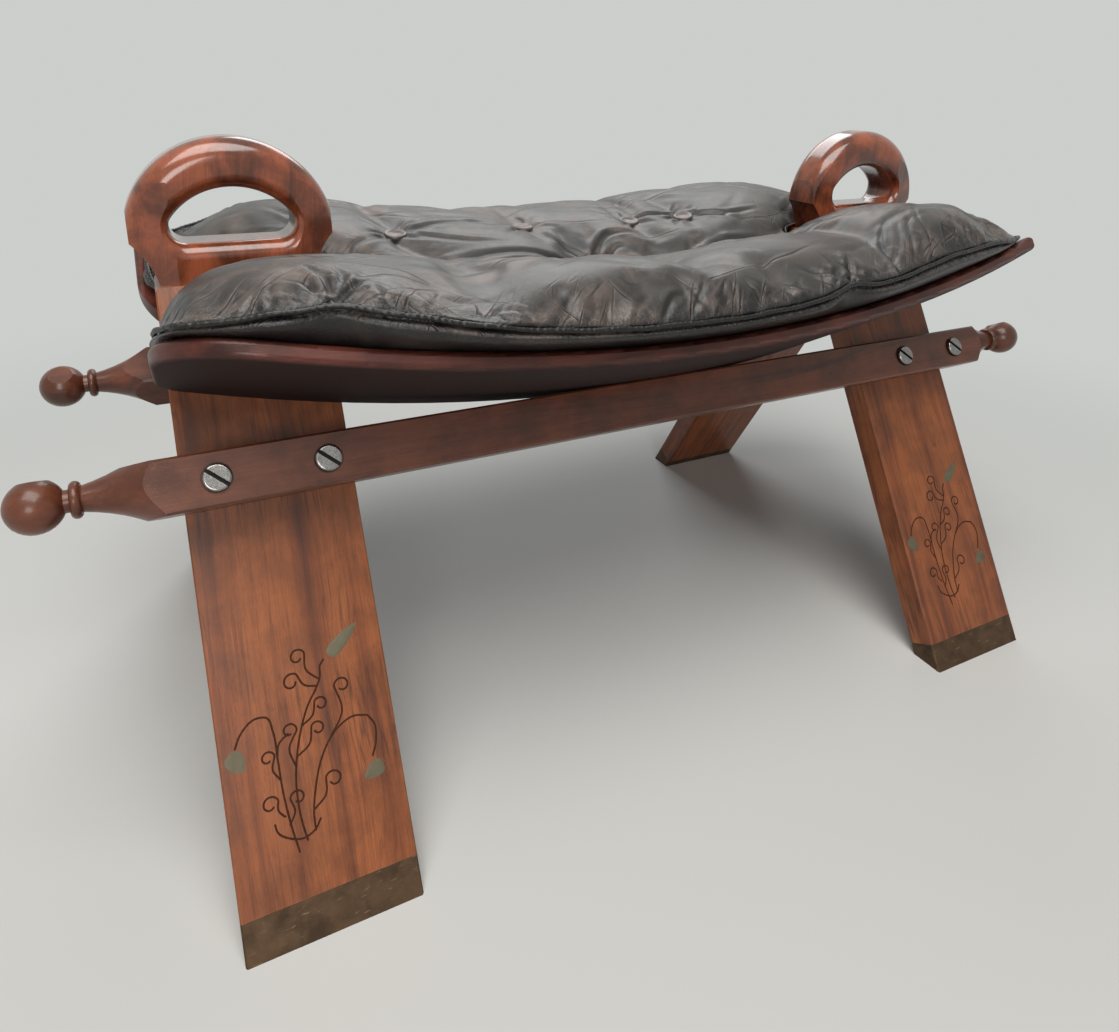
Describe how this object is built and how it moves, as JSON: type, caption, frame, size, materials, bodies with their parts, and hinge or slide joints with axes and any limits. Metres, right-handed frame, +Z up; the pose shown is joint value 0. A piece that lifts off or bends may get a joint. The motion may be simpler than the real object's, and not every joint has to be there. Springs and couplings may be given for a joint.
{
  "type": "camel saddle stool",
  "caption": "Low camel saddle stool: splayed plank legs with carved ridge handles, bolted side rails, bent seat boards and a tufted leather saddle cushion.",
  "frame": {"origin": "on the floor, at the middle of the stool's length and width", "axes": "+X along the stool, towards the right end as seen from the front; +Y towards the back; +Z up"},
  "size_m": [0.7196, 0.382, 0.373],
  "materials": {
    "leg_wood": "stained brown, worn satin varnish",
    "rail_wood": "stained brown, worn satin varnish",
    "handle_wood": "stained reddish brown, glossy varnish",
    "board_wood": "stained dark red-brown, glossy varnish",
    "dowel_wood": "bare",
    "band_brass": "tarnished",
    "leaf_brass": "tarnished, rubbed",
    "bolt_steel": "dull, a little rusted",
    "screw_steel": "dull",
    "cushion_leather": "worn dark brown, semi-gloss",
    "button_leather": "worn dark brown, semi-gloss"
  },
  "bodies": {
    "frame": {"board_screws_back_left": "screw_steel", "board_screws_back_right": "screw_steel", "board_screws_front_left": "screw_steel", "board_screws_front_right": "screw_steel", "foot_band_back_left": "band_brass", "foot_band_back_right": "band_brass", "foot_band_front_left": "band_brass", "foot_band_front_right": "band_brass", "handle_dowels_left": "dowel_wood", "handle_dowels_right": "dowel_wood", "handle_left": "handle_wood", "handle_right": "handle_wood", "leaf_inlays_back_left": "leaf_brass", "leaf_inlays_back_right": "leaf_brass", "leaf_inlays_front_left": "leaf_brass", "leaf_inlays_front_right": "leaf_brass", "leg_back_left": "leg_wood", "leg_back_right": "leg_wood", "leg_front_left": "leg_wood", "leg_front_right": "leg_wood", "rail_back": "rail_wood", "rail_bolts_back_left": "bolt_steel", "rail_bolts_back_right": "bolt_steel", "rail_bolts_front_left": "bolt_steel", "rail_bolts_front_right": "bolt_steel", "rail_front": "rail_wood", "rail_nuts_back_left": "bolt_steel", "rail_nuts_back_right": "bolt_steel", "rail_nuts_front_left": "bolt_steel", "rail_nuts_front_right": "bolt_steel", "rail_washers_back_left": "bolt_steel", "rail_washers_back_right": "bolt_steel", "rail_washers_front_left": "bolt_steel", "rail_washers_front_right": "bolt_steel", "seat_board_back": "board_wood", "seat_board_front": "board_wood"},
    "cushion": {"cushion": "cushion_leather", "cushion_buttons": "button_leather"}
  },
  "joints": [
    {"name": "cushion_lift", "type": "slide", "parent": "frame", "child": "cushion", "axis": [0, 0, 1], "range_m": [0, 0.2]}
  ]
}
